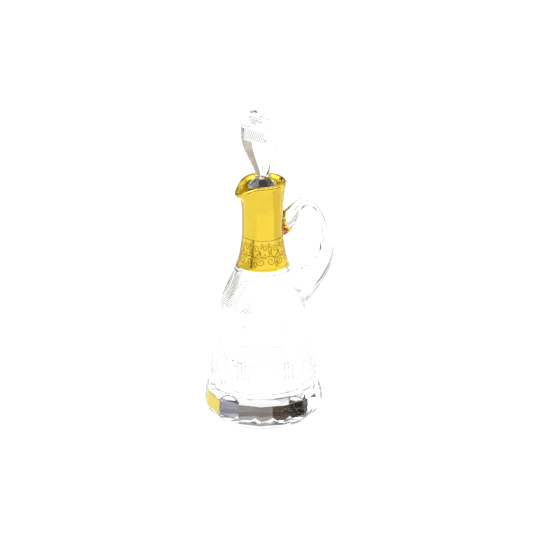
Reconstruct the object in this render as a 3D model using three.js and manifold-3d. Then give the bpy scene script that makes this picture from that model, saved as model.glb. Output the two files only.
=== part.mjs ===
// Cut-crystal carafe with a gilded neck, a drawn glass handle and a faceted stopper.
// Millimetres, Z up. The foot stands on z = 0, its centre is the origin,
// the pouring lip points along -X and the handle along +X.
import * as THREE from 'three';
import { mergeVertices } from 'three/addons/utils/BufferGeometryUtils.js';
import Module from 'manifold-3d';

const wasm = await Module();
wasm.setup();

// ---- driving sizes -------------------------------------------------------
const SEGMENTS = 48;             // round the axis: three per foot panel
const PANELS = 16;               // flat cuts round the foot
const PANEL_PHASE = 2.2;         // degrees from +X to the first panel corner
const GILT_GAP = 0.3;            // between glass and gilding shell
const GILT_WALL = 0.5;           // gilding shell
const GILT_BACK = GILT_GAP + GILT_WALL;
const RIM_Z = 246;               // top of the mouth away from the spout
const SPOUT_FROM_Z = 226;        // the neck is round below this
const SPOUT_REACH = 3.9;         // how far the lip is drawn out
const SPOUT_DIP = 11.0;          // how far the lip dips at the spout
const SPOUT_HALF_ANGLE = 30;     // degrees, width of the drawn-out part
const SPOUT_DIP_ANGLE = 40;      // degrees, width of the dip
const FRIEZE_LOW = 159.2;        // gilding starts here
const FRIEZE_TOP = 189.6;        // engraved line between frieze and plain neck
const LIP_LOW = 237.5;           // plain neck ends, rolled lip begins
const STOPPER_TURN = -148;       // degrees, direction the broad face looks
const STOPPER_LEAN = 0.034;      // hand-cut head leans a little towards the spout

// ---- small helpers -------------------------------------------------------
const rad = d => d * Math.PI / 180;
const lerp = (a, b, t) => a + (b - a) * t;
const smooth = (a, b, x) => { const t = Math.min(1, Math.max(0, (x - a) / (b - a))); return t * t * (3 - 2 * t); };

// monotone-ish interpolation in a table of [z, r]
function radiusAt(table, z) {
  if (z <= table[0][0]) return table[0][1];
  for (let i = 1; i < table.length; i++) {
    if (z <= table[i][0]) {
      const [z0, r0] = table[i - 1], [z1, r1] = table[i];
      return lerp(r0, r1, (z - z0) / (z1 - z0));
    }
  }
  return table[table.length - 1][1];
}

// the spout: everything near the rim moves out and down towards -X
function spout(x, y, z) {
  const r = Math.hypot(x, y);
  if (r < 1e-9) return [x, y, z];
  const a = Math.atan2(y, x);
  const off = Math.abs(Math.atan2(Math.sin(a - Math.PI), Math.cos(a - Math.PI))) * 180 / Math.PI;
  const s = smooth(SPOUT_FROM_Z, RIM_Z, z);
  const out = SPOUT_REACH * s * Math.exp(-((off / SPOUT_HALF_ANGLE) ** 2));
  const dip = SPOUT_DIP * s * Math.exp(-((off / SPOUT_DIP_ANGLE) ** 2));
  return [x * (r + out) / r, y * (r + out) / r, z - dip];
}

// closed ring of [r, z] points turned round Z; points on the axis close the ends
function turned(points, segments, phase = 0, bend = null) {
  const pos = [], idx = [], rows = [];
  for (const [r, z] of points) {
    if (r < 1e-6) { rows.push([pos.length / 3]); pos.push(0, 0, z); continue; }
    const row = [];
    for (let i = 0; i < segments; i++) {
      const a = rad(phase) + 2 * Math.PI * i / segments;
      let p = [r * Math.cos(a), r * Math.sin(a), z];
      if (bend) p = bend(...p);
      row.push(pos.length / 3);
      pos.push(...p);
    }
    rows.push(row);
  }
  const closed = points[0][0] > 1e-6;
  const n = rows.length;
  for (let k = 0; k < (closed ? n : n - 1); k++) {
    const A = rows[k], B = rows[(k + 1) % n];
    for (let i = 0; i < segments; i++) {
      const j = (i + 1) % segments;
      if (A.length === 1 && B.length === 1) continue;
      if (A.length === 1) idx.push(A[0], B[j], B[i]);
      else if (B.length === 1) idx.push(A[i], A[j], B[0]);
      else idx.push(A[i], A[j], B[j], A[i], B[j], B[i]);
    }
  }
  return { pos, idx };
}

// sections of equal point count joined into one closed skin
function lofted(sections) {
  const pos = [], idx = [], m = sections[0].length;
  for (const s of sections) for (const p of s) pos.push(...p);
  for (let k = 0; k < sections.length - 1; k++) {
    for (let i = 0; i < m; i++) {
      const j = (i + 1) % m, a = k * m, b = a + m;
      idx.push(a + i, a + j, b + j, a + i, b + j, b + i);
    }
  }
  for (const [k, flip] of [[0, true], [sections.length - 1, false]]) {
    const c = [0, 0, 0];
    for (const p of sections[k]) for (let q = 0; q < 3; q++) c[q] += p[q] / m;
    const ci = pos.length / 3;
    pos.push(...c);
    for (let i = 0; i < m; i++) {
      const j = (i + 1) % m, a = k * m;
      if (flip) idx.push(ci, a + j, a + i); else idx.push(ci, a + i, a + j);
    }
  }
  return { pos, idx };
}

function volume({ pos, idx }) {
  let v = 0;
  for (let t = 0; t < idx.length; t += 3) {
    const [a, b, c] = [idx[t] * 3, idx[t + 1] * 3, idx[t + 2] * 3];
    v += pos[a] * (pos[b + 1] * pos[c + 2] - pos[b + 2] * pos[c + 1])
       - pos[a + 1] * (pos[b] * pos[c + 2] - pos[b + 2] * pos[c])
       + pos[a + 2] * (pos[b] * pos[c + 1] - pos[b + 1] * pos[c]);
  }
  return v / 6;
}

function solid(skin) {
  const tris = skin.idx.slice();
  if (volume(skin) < 0) for (let t = 0; t < tris.length; t += 3) [tris[t + 1], tris[t + 2]] = [tris[t + 2], tris[t + 1]];
  return new wasm.Manifold(new wasm.Mesh({ numProp: 3, vertProperties: new Float32Array(skin.pos), triVerts: new Uint32Array(tris) }));
}

const root = new THREE.Group();
root.name = 'carafe';

function put(name, body, colour, rough, metal, opacity = 1) {
  const m = body.getMesh();
  let g = new THREE.BufferGeometry();
  const p = new Float32Array(m.numVert * 3);
  for (let i = 0; i < m.numVert; i++) for (let q = 0; q < 3; q++) p[i * 3 + q] = m.vertProperties[i * m.numProp + q];
  g.setAttribute('position', new THREE.BufferAttribute(p, 3));
  g.setIndex(new THREE.BufferAttribute(new Uint32Array(m.triVerts), 1));
  g = mergeVertices(g, 1e-4);
  g.computeVertexNormals();
  const mat = new THREE.MeshStandardMaterial({ color: colour, roughness: rough, metalness: metal, transparent: opacity < 1, opacity });
  mat.name = name;
  const mesh = new THREE.Mesh(g, mat);
  mesh.name = name;
  root.add(mesh);
}

// ---- vessel: thick foot with flat panels, tapering body, straight neck ---
// outside without the gilding step, [z, r]; the foot is left proud for its cuts
const OUTSIDE = [
  [0, 53.6], [5, 58.6], [9.5, 62.0], [14, 60.6], [18, 60.0], [22, 59.4], [26.4, 58.6], [33, 55.0],
  [44, 53.6], [64, 52.0], [86, 49.9], [100, 47.8], [110, 45.6], [120, 42.5],
  [130, 38.6], [140, 34.1], [148, 30.8], [153.0, 28.9], [158.2, 26.95],
];
// outside of the gilding, [z, r]
const GILDED = [
  [158.4, 26.85], [162, 25.4], [168, 23.7], [175, 22.4], [183, 21.25], [192, 20.55], [204, 20.35],
  [216, 20.65], [226, 21.2], [234, 22.05], [240, 22.95],
];
// inside, [z, r]
const INSIDE = [
  [27.0, 30.0], [28.2, 38.0], [31.5, 43.6], [38, 46.7], [50, 47.6], [72, 46.3], [94, 43.8], [110, 40.4],
  [124, 35.7], [138, 29.7], [150, 24.8], [160, 21.0], [170, 17.7], [181, 15.6], [194, 14.4],
  [208, 13.9], [226, 14.6], [233, 15.5], [238.5, 16.8],
];
const GROOVE_Z = 153.6;          // thin ring cut under the gilding

const outProfile = [[0, 0]];
for (const [z, r] of OUTSIDE) outProfile.push([r, z]);
// ring groove, then the step back under the gilding
const g0 = radiusAt(OUTSIDE, GROOVE_Z);
const grooved = outProfile.filter(([r, z]) => z < GROOVE_Z - 0.9 || z > GROOVE_Z + 0.9);
const at = grooved.findIndex(([r, z]) => z > GROOVE_Z);
grooved.splice(at, 0, [g0 + 0.35, GROOVE_Z - 0.9], [g0 - 0.55, GROOVE_Z], [g0 - 0.35, GROOVE_Z + 0.9]);
for (const [z, r] of GILDED) grooved.push([r - GILT_BACK, z]);
// rounded rim of the glass under the rolled lip
const RIM_GLASS = [[22.75, 242.2], [23.1, 243.5], [22.95, 244.5], [22.45, 245.3], [21.6, 245.75], [20.6, 245.65], [19.6, 244.85], [18.75, 243.5], [17.8, 241.2]];
for (const p of RIM_GLASS) grooved.push(p);
for (const [z, r] of INSIDE.slice().reverse()) grooved.push([r, z]);
grooved.push([0, 26.8]);
const turnedVessel = solid(turned(grooved, SEGMENTS, PANEL_PHASE, spout));

// flat cuts: bevels under the widest line, upright panels, then a sloping row with arched heads
const flat = a => a / Math.cos(Math.PI / PANELS);
const CUTS = [[0, 0], [flat(51.6), 0], [flat(56.6), 5.4], [flat(59.2), 11.8], [flat(57.0), 26.4], [flat(55.0), 33.0], [flat(90), 33.8], [flat(90), 330], [0, 330]];
const cuts = solid(turned(CUTS, PANELS, PANEL_PHASE));
const vessel = turnedVessel.intersect(cuts);

// ---- handle: drawn glass, broad at the shoulder, thin over the top -------
// [x, z, half depth in the handle's plane, half width]
const HANDLE = [
  [12.0, 199.5, 13.0, 9.5], [20.0, 199.8, 12.6, 9.0], [26.0, 202.8, 10.0, 7.6], [31.5, 208.8, 7.4, 6.2], [37.5, 215.4, 5.6, 5.4],
  [43.8, 219.0, 5.1, 5.0], [50.4, 217.3, 4.4, 4.7], [55.6, 212.4, 4.1, 4.6], [59.6, 206.2, 4.6, 4.7], [64.0, 196.2, 5.3, 5.0], [67.3, 183.0, 6.7, 5.6],
  [68.6, 168.0, 7.8, 6.4], [65.6, 156.0, 8.9, 7.4], [58.6, 145.8, 11.2, 8.6], [50.6, 137.0, 13.6, 9.8], [42.0, 129.6, 15.6, 10.6], [32.0, 121.5, 16.6, 10.8],
];
function handleSkin(grow) {
  const path = new THREE.CatmullRomCurve3(HANDLE.map(h => new THREE.Vector3(h[0], 0, h[1])), false, 'centripetal');
  const depth = new THREE.CatmullRomCurve3(HANDLE.map((h, i) => new THREE.Vector3(i, h[2], h[3])), false, 'centripetal');
  const n = 32, m = 14, sections = [];
  for (let k = 0; k <= n; k++) {
    const t = k / n;
    const c = path.getPoint(t), w = depth.getPoint(t), d = path.getTangent(t);
    const normal = new THREE.Vector3(-d.z, 0, d.x).normalize();
    const ring = [];
    for (let i = 0; i < m; i++) {
      const a = 2 * Math.PI * i / m;
      const ca = Math.cos(a), sa = Math.sin(a);
      const e = 0.86;            // slightly squared oval
      const u = Math.sign(ca) * Math.abs(ca) ** e * (w.y + grow), v = Math.sign(sa) * Math.abs(sa) ** e * (w.z + grow);
      ring.push([c.x + normal.x * u, v, c.z + normal.z * u]);
    }
    sections.push(ring);
  }
  return lofted(sections);
}
// the round outside of the vessel grown by the gap, to seat both roots
const seat = [[0, 20], [60, 20]];
for (const [z, r] of OUTSIDE) if (z > 24) seat.push([r + GILT_GAP, z]);
for (const [z, r] of GILDED) seat.push([r - GILT_BACK + GILT_GAP, z]);
seat.push([22.5, 252], [0, 252]);
const handleRod = solid(handleSkin(0));
const handle = handleRod.subtract(solid(turned(seat, SEGMENTS, PANEL_PHASE)));
const handleClear = solid(handleSkin(0.35));

// ---- gilding: frieze band, plain neck sleeve and rolled lip --------------
function shell(low, high, from) {
  const zs = [low];
  for (const [z] of from) if (z > low + 0.7 && z < high - 0.7) zs.push(z);
  zs.push(high);
  const loop = [];
  for (const z of zs) loop.push([radiusAt(from, z), z]);
  for (const z of zs.slice().reverse()) loop.push([radiusAt(from, z) - GILT_WALL, z]);
  return loop;
}
const frieze = solid(turned(shell(FRIEZE_LOW, FRIEZE_TOP, GILDED), SEGMENTS, PANEL_PHASE, spout)).subtract(handleClear);
const sleeve = solid(turned(shell(FRIEZE_TOP + 0.3, LIP_LOW, GILDED), SEGMENTS, PANEL_PHASE, spout)).subtract(handleClear);

const LIP = [
  [22.5, LIP_LOW + 0.3], [22.95, 239.8], [23.7, 241.9], [24.05, 243.6], [23.85, 245.1], [23.1, 246.25], [21.8, 246.7], [20.4, 246.55], [19.0, 245.6], [17.9, 244.1], [16.9, 241.5], [16.0, 238.8], [15.2, 235.6],
];
const LIP_BACK = [
  [15.68, 235.4], [16.48, 238.6], [17.38, 241.3], [18.35, 243.75], [19.3, 245.15], [20.5, 246.02], [21.7, 246.15], [22.75, 245.75], [23.35, 244.75], [23.52, 243.6], [23.2, 242.1], [22.45, 239.9], [22.0, LIP_LOW + 0.3],
];
const lip = solid(turned([...LIP, ...LIP_BACK], SEGMENTS, PANEL_PHASE, spout));

// ---- stopper: ground plug, eight-sided shoulder, flattened cut head ------
// every head section keeps the same eight edge directions, so each cut is flat
const PER_EDGE = 4;
function section(z, a, h, k) {
  const w = a + 1.6 * (h - k);
  return { z, pts: [[a, h], [-a, h], [-w, k], [-w, -k], [-a, -h], [a, -h], [w, -k], [w, k]] };
}
function eightSided(z, R) {
  const pts = [];
  for (let i = 0; i < 8; i++) pts.push([R * Math.cos(rad(67.5 + 45 * i)), R * Math.sin(rad(67.5 + 45 * i))]);
  return { z, pts };
}
function round(z, r) {
  const pts = [];
  for (let i = 0; i < 8 * PER_EDGE; i++) { const a = rad(67.5) + 2 * Math.PI * i / (8 * PER_EDGE); pts.push([r * Math.cos(a), r * Math.sin(a)]); }
  return { z, pts };
}
const STOPPER = [
  round(211.6, 11.6), round(213.0, 13.0), round(226, 14.0), round(234, 14.25), eightSided(238.6, 15.0), eightSided(241.0, 15.1),
  section(249.4, 1.8, 6.1, 2.8), section(250.0, 1.7, 5.9, 2.7), section(253.6, 1.75, 5.9, 2.7), section(276, 10.6, 9.9, 5.2), section(288.6, 13.3, 10.6, 5.6),
  section(289.0, 13.0, 10.1, 5.1), section(300.4, 13.2, 10.2, 5.2), section(300.8, 13.6, 10.7, 5.7), section(306.6, 13.2, 10.4, 5.4), section(313.4, 7.6, 7.4, 3.4), section(317.0, 4.2, 5.0, 2.2),
];
const turn = rad(STOPPER_TURN) - Math.PI / 2;
const stopperSections = STOPPER.map(({ z, pts }) => {
  const ring = [];
  for (let i = 0; i < pts.length; i++) {
    const [x0, y0] = pts[i], [x1, y1] = pts[(i + 1) % pts.length];
    const steps = pts.length === 8 ? PER_EDGE : 1;
    for (let q = 0; q < steps; q++) {
      const x = lerp(x0, x1, q / steps), y = lerp(y0, y1, q / steps);
      const lean = -STOPPER_LEAN * Math.max(0, z - 252);
      ring.push([x * Math.cos(turn) - y * Math.sin(turn) + lean, x * Math.sin(turn) + y * Math.cos(turn), z]);
    }
  }
  return ring;
});
const stopper = solid(lofted(stopperSections));

// ---- seal: a foil patch over one foot panel and round its corner ---------
const LABEL_FROM = 172.6, LABEL_TO = 204.0;       // degrees round the foot
const LABEL_Z = 18.6, LABEL_HALF_H = 7.4, LABEL_CORNER = 1.5, LABEL_THICK = 0.35, LABEL_TILT = 0.06;
const PANEL_CUT = [[0, 51.6], [5.4, 56.6], [11.8, 59.2], [26.4, 57.0], [33.0, 55.0], [33.8, 90]];
function footRadius(a, z) {
  const step = 360 / PANELS, off = ((a - PANEL_PHASE) % step + step) % step - step / 2;
  return Math.min(radiusAt(OUTSIDE, z), radiusAt(PANEL_CUT, z) / Math.cos(rad(off)));
}
const labelColumns = [LABEL_FROM, 172.8, 173.2, 174.1, 176, 178, 180.2, PANEL_PHASE + 180, 184, 187, 190, 193.45, 197, 200, 202.4, 203.4, 203.8, LABEL_TO];
const labelRows = 9;
const labelSkin = { pos: [], idx: [] };
for (const lift of [GILT_GAP, GILT_GAP + LABEL_THICK]) {
  for (const a of labelColumns) {
    const end = rad(Math.min(a - LABEL_FROM, LABEL_TO - a)) * 58;             // mm to the nearer end
    const c = Math.max(0, LABEL_CORNER - end);
    const half = LABEL_HALF_H - LABEL_CORNER + Math.sqrt(LABEL_CORNER ** 2 - c ** 2) * (c < LABEL_CORNER ? 1 : 0);
    for (let j = 0; j < labelRows; j++) {
      const along = rad(a - (LABEL_FROM + LABEL_TO) / 2) * 58;
      const z = LABEL_Z - LABEL_TILT * along + half * (2 * j / (labelRows - 1) - 1), r = footRadius(a, z) + lift;
      labelSkin.pos.push(r * Math.cos(rad(a)), r * Math.sin(rad(a)), z);
    }
  }
}
{
  const nc = labelColumns.length, at = (side, i, j) => (side * nc + i) * labelRows + j, add = (a, b, c, d) => labelSkin.idx.push(a, b, c, a, c, d);
  for (let i = 0; i + 1 < nc; i++) {
    for (let j = 0; j + 1 < labelRows; j++) {
      add(at(1, i, j), at(1, i + 1, j), at(1, i + 1, j + 1), at(1, i, j + 1));
      add(at(0, i, j), at(0, i, j + 1), at(0, i + 1, j + 1), at(0, i + 1, j));
    }
    add(at(0, i, 0), at(0, i + 1, 0), at(1, i + 1, 0), at(1, i, 0));
    add(at(0, i, labelRows - 1), at(1, i, labelRows - 1), at(1, i + 1, labelRows - 1), at(0, i + 1, labelRows - 1));
  }
  for (let j = 0; j + 1 < labelRows; j++) {
    add(at(0, 0, j), at(1, 0, j), at(1, 0, j + 1), at(0, 0, j + 1));
    add(at(0, nc - 1, j), at(0, nc - 1, j + 1), at(1, nc - 1, j + 1), at(1, nc - 1, j));
  }
}
const label = solid(labelSkin);

// ---- the object ----------------------------------------------------------
put('vessel_body', vessel, 0xf2f7f8, 0.03, 0, 0.35);
put('handle', handle, 0xf2f7f8, 0.03, 0, 0.45);
put('gilt_frieze_band', frieze, 0xc98a16, 0.4, 1);
put('gilt_neck_sleeve', sleeve, 0xe0a322, 0.15, 1);
put('gilt_lip', lip, 0xe6ad2a, 0.12, 1);
put('stopper', stopper, 0xf4f8f9, 0.03, 0, 0.4);
put('foot_label', label, 0xe2a92c, 0.5, 0);

export default root;
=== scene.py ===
# Cut-crystal carafe: fine glass, gilding, handle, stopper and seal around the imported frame.
import math
import bpy
import numpy as np
from mathutils import Matrix


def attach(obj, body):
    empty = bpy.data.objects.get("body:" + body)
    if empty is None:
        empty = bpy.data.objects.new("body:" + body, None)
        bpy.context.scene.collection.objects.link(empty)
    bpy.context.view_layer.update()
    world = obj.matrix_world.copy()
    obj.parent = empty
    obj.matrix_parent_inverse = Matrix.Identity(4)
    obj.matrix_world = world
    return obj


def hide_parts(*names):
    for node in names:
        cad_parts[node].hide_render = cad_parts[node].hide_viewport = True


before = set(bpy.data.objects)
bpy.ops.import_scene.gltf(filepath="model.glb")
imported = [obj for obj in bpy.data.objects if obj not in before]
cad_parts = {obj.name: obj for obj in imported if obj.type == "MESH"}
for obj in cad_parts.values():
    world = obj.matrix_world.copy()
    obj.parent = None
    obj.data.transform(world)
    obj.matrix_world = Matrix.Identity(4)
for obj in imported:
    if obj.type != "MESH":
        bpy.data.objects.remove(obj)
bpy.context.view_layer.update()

MM = 0.001
TAU = 2.0 * math.pi

# ---------------------------------------------------------------- sizes (mm)
PANELS = 16
PHASE = math.radians(2.2)
RIM_Z = 246.0
SPOUT_FROM_Z, SPOUT_REACH, SPOUT_DIP = 226.0, 3.9, 11.0
SPOUT_HALF, SPOUT_DIP_HALF = 30.0, 40.0
FRIEZE_LOW, FRIEZE_TOP, LIP_LOW = 159.2, 189.6, 237.5

OUTSIDE = np.array([
    (0, 53.6), (5, 58.6), (9.5, 62.0), (14, 60.6), (18, 60.0), (22, 59.4), (26.4, 58.6), (27.4, 58.05), (32.4, 55.33), (33, 55.0), (34, 54.85),
    (44, 53.6), (64, 52.0), (86, 49.9), (100, 47.8), (110, 45.6), (120, 42.5),
    (130, 38.6), (140, 34.1), (148, 30.8), (153.0, 28.9), (158.2, 26.95)])
GILDED = np.array([
    (158.4, 26.85), (162, 25.4), (168, 23.7), (175, 22.4), (183, 21.25), (192, 20.55), (204, 20.35),
    (216, 20.65), (226, 21.2), (234, 22.05), (240, 22.95)])
INSIDE = np.array([
    (27.0, 30.0), (28.2, 38.0), (31.5, 43.6), (38, 46.7), (50, 47.6), (72, 46.3), (94, 43.8), (110, 40.4),
    (124, 35.7), (138, 29.7), (150, 24.8), (160, 21.0), (170, 17.7), (181, 15.6), (194, 14.4),
    (208, 13.9), (226, 14.6), (233, 15.5), (238.5, 16.8)])


# flat cuts of the foot: height, distance of the flat from the axis
FOOT_Z = [0, 5.4, 11.8, 26.4, 33.0, 33.8]
FOOT_A = [51.6, 56.6, 59.2, 57.0, 55.0, 90.0]


# ---------------------------------------------------------------- helpers
def pchip(table):
    x, y = table[:, 0].astype(float), table[:, 1].astype(float)
    h, d = np.diff(x), np.diff(y) / np.diff(x)
    m = np.zeros_like(x)
    m[0], m[-1] = d[0], d[-1]
    for i in range(1, len(x) - 1):
        if d[i - 1] * d[i] > 0:
            w1, w2 = 2 * h[i] + h[i - 1], h[i] + 2 * h[i - 1]
            m[i] = (w1 + w2) / (w1 / d[i - 1] + w2 / d[i])

    def f(q):
        q = np.clip(np.asarray(q, float), x[0], x[-1])
        k = np.clip(np.searchsorted(x, q) - 1, 0, len(x) - 2)
        t = (q - x[k]) / h[k]
        t2, t3 = t * t, t * t * t
        return ((2 * t3 - 3 * t2 + 1) * y[k] + (t3 - 2 * t2 + t) * h[k] * m[k]
                + (-2 * t3 + 3 * t2) * y[k + 1] + (t3 - t2) * h[k] * m[k + 1])
    return f


out_r, gilt_r, in_r = pchip(OUTSIDE), pchip(GILDED), pchip(INSIDE)


def smooth(a, b, x):
    t = np.clip((np.asarray(x, float) - a) / (b - a), 0.0, 1.0)
    return t * t * (3 - 2 * t)


def spout(p):
    """Moves points near the rim out and down towards -X; the same rule as the solids follow."""
    p = np.array(p, float)
    r = np.hypot(p[:, 0], p[:, 1])
    a = np.arctan2(p[:, 1], p[:, 0])
    off = np.degrees(np.abs(np.arctan2(np.sin(a - math.pi), np.cos(a - math.pi))))
    s = smooth(SPOUT_FROM_Z, RIM_Z, p[:, 2])
    k = (r + SPOUT_REACH * s * np.exp(-(off / SPOUT_HALF) ** 2)) / np.maximum(r, 1e-9)
    p[:, 0] *= k
    p[:, 1] *= k
    p[:, 2] -= SPOUT_DIP * s * np.exp(-(off / SPOUT_DIP_HALF) ** 2)
    return p


class Skin:
    """Collects rows of points and joins them; millimetres in, a mesh object in metres out."""

    def __init__(self):
        self.p, self.f, self.n, self.tag = [], [], 0, []

    def row(self, pts):
        pts = np.asarray(pts, float).reshape(-1, 3)
        i = np.arange(self.n, self.n + len(pts))
        self.p.append(pts)
        self.tag.append(np.zeros(len(pts)))
        self.n += len(pts)
        return i

    def ring(self, r, z, n, phase=PHASE, bend=None):
        a = phase + TAU * np.arange(n) / n
        r = np.broadcast_to(np.asarray(r, float), (n,))
        z = np.broadcast_to(np.asarray(z, float), (n,))
        p = np.stack([r * np.cos(a), r * np.sin(a), z], -1)
        return self.row(bend(p) if bend else p)

    def join(self, A, B, split=None):
        n, m = len(A), len(B)
        if n == m:
            for i in range(n):
                j = (i + 1) % n
                q = (A[i], A[j], B[j], B[i])
                s = split(i) if split else 0
                if s == 0:
                    self.f.append(tuple(map(int, q)))
                elif s == 1:
                    self.f += [tuple(map(int, (q[0], q[1], q[2]))), tuple(map(int, (q[0], q[2], q[3])))]
                else:
                    self.f += [tuple(map(int, (q[0], q[1], q[3]))), tuple(map(int, (q[1], q[2], q[3])))]
        elif n > m:                       # fine below, coarse above
            k = n // m
            for c in range(m):
                d = (c + 1) % m
                for q in range(k):
                    a, b = A[c * k + q], A[(c * k + q + 1) % n]
                    top = B[c] if q < k // 2 + 1 else B[d]
                    self.f.append((int(a), int(b), int(top)))
                    if q == k // 2:
                        self.f.append((int(b), int(B[d]), int(B[c])))
        else:                             # coarse below, fine above
            k = m // n
            for c in range(n):
                d = (c + 1) % n
                for q in range(k):
                    a, b = B[c * k + q], B[(c * k + q + 1) % m]
                    low = A[c] if q < k // 2 + 1 else A[d]
                    self.f.append((int(b), int(a), int(low)))
                    if q == k // 2:
                        self.f.append((int(A[c]), int(A[d]), int(b)))

    def fan(self, A, centre, up):
        c = int(self.row([centre])[0])
        n = len(A)
        for i in range(n):
            j = (i + 1) % n
            self.f.append((int(A[i]), int(A[j]), c) if up else (int(A[j]), int(A[i]), c))

    def make(self, name, sharp_deg=None, flat=False):
        v = np.concatenate(self.p) * MM
        me = bpy.data.meshes.new(name)
        me.from_pydata(v.tolist(), [], self.f)
        me.validate()
        me.update()
        if not flat:
            me.polygons.foreach_set("use_smooth", np.ones(len(me.polygons), dtype=bool))
            if sharp_deg:
                me.set_sharp_from_angle(angle=math.radians(sharp_deg))
        ob = bpy.data.objects.new(name, me)
        bpy.context.scene.collection.objects.link(ob)
        return ob


def attribute(ob, name, values):
    a = ob.data.attributes.new(name, "FLOAT", "POINT")
    a.data.foreach_set("value", np.asarray(values, dtype=np.float32))


def place(ob, body, node, mat):
    ob.data.materials.clear()
    ob.data.materials.append(mat)
    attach(ob, body)
    if node:
        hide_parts(node)


# ---------------------------------------------------------------- materials
def new_mat(name):
    m = bpy.data.materials.new(name)
    m.use_nodes = True
    t = m.node_tree
    b = t.nodes["Principled BSDF"]
    return m, t, b


def node(t, kind, **kw):
    n = t.nodes.new(kind)
    for k, v in kw.items():
        setattr(n, k, v)
    return n


def noise(t, scale, detail=3.0, rough=0.5, coord="Object"):
    c = node(t, "ShaderNodeTexCoord")
    n = node(t, "ShaderNodeTexNoise")
    n.inputs["Scale"].default_value = scale
    n.inputs["Detail"].default_value = detail
    n.inputs["Roughness"].default_value = rough
    t.links.new(c.outputs[coord], n.inputs["Vector"])
    return n


def remap(t, src, lo, hi, a=0.0, b=1.0):
    r = node(t, "ShaderNodeMapRange")
    r.inputs["From Min"].default_value = a
    r.inputs["From Max"].default_value = b
    r.inputs["To Min"].default_value = lo
    r.inputs["To Max"].default_value = hi
    t.links.new(src, r.inputs["Value"])
    return r.outputs["Result"]


def ramp(t, src, stops):
    r = node(t, "ShaderNodeValToRGB")
    e = r.color_ramp.elements
    while len(e) > 1:
        e.remove(e[-1])
    e[0].position, e[0].color = stops[0][0], (*stops[0][1], 1)
    for p, c in stops[1:]:
        q = e.new(p)
        q.color = (*c, 1)
    t.links.new(src, r.inputs["Fac"])
    return r.outputs["Color"]


def bump(t, bsdf, height, strength, distance):
    b = node(t, "ShaderNodeBump")
    b.inputs["Strength"].default_value = strength
    b.inputs["Distance"].default_value = distance
    t.links.new(height, b.inputs["Height"])
    t.links.new(b.outputs["Normal"], bsdf.inputs["Normal"])
    return b


def glass(name, ior, tint, wave_scale, wave, frost=None, lines=None):
    """Clear glass: slight waviness, faint smears in the polish, a frosted ground seat and, if asked for, painted shade
    on the cut lines: a dark tone mixed in from a per-vertex attribute.
    """
    m, t, b = new_mat(name)
    b.inputs["Transmission Weight"].default_value = 1.0
    b.inputs["IOR"].default_value = ior
    b.inputs["Metallic"].default_value = 0.0
    smear = noise(t, 70.0, 4.0, 0.6)
    clear = ramp(t, smear.outputs["Fac"], [(0.3, tint), (0.75, tuple(min(1.0, c + 0.012) for c in tint))])
    # painted shade: the cut lines darkened by a per-vertex attribute, standing for dark reflections in the cuts
    if lines:
        at = node(t, "ShaderNodeAttribute", attribute_name="painted_cut_shade")
        grey = node(t, "ShaderNodeMix", data_type="RGBA")
        t.links.new(at.outputs["Fac"], grey.inputs["Factor"])
        t.links.new(clear, grey.inputs[6])
        grey.inputs[7].default_value = (*lines, 1)
        clear = grey.outputs[2]
    t.links.new(clear, b.inputs["Base Color"])
    polish = remap(t, smear.outputs["Fac"], 0.0, 0.012, 0.55, 0.9)
    if frost:
        lo, hi, amount = frost
        c = node(t, "ShaderNodeTexCoord")
        x = node(t, "ShaderNodeSeparateXYZ")
        t.links.new(c.outputs["Object"], x.inputs["Vector"])
        a = remap(t, x.outputs["Z"], 0.0, 1.0, lo - 0.0006, lo)
        z = remap(t, x.outputs["Z"], 1.0, 0.0, hi, hi + 0.0006)
        both = node(t, "ShaderNodeMath", operation="MULTIPLY")
        t.links.new(a, both.inputs[0])
        t.links.new(z, both.inputs[1])
        grit = noise(t, 2600.0, 2.0)
        g = remap(t, grit.outputs["Fac"], amount * 0.7, amount * 1.3, 0.3, 0.7)
        mul = node(t, "ShaderNodeMath", operation="MULTIPLY")
        t.links.new(both.outputs[0], mul.inputs[0])
        t.links.new(g, mul.inputs[1])
        top = node(t, "ShaderNodeMath", operation="MAXIMUM")
        t.links.new(mul.outputs[0], top.inputs[0])
        t.links.new(polish, top.inputs[1])
        polish = top.outputs[0]
    t.links.new(polish, b.inputs["Roughness"])
    w = noise(t, wave_scale, 2.0, 0.4)
    bump(t, b, w.outputs["Fac"], wave, 0.001)
    return m


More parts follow.
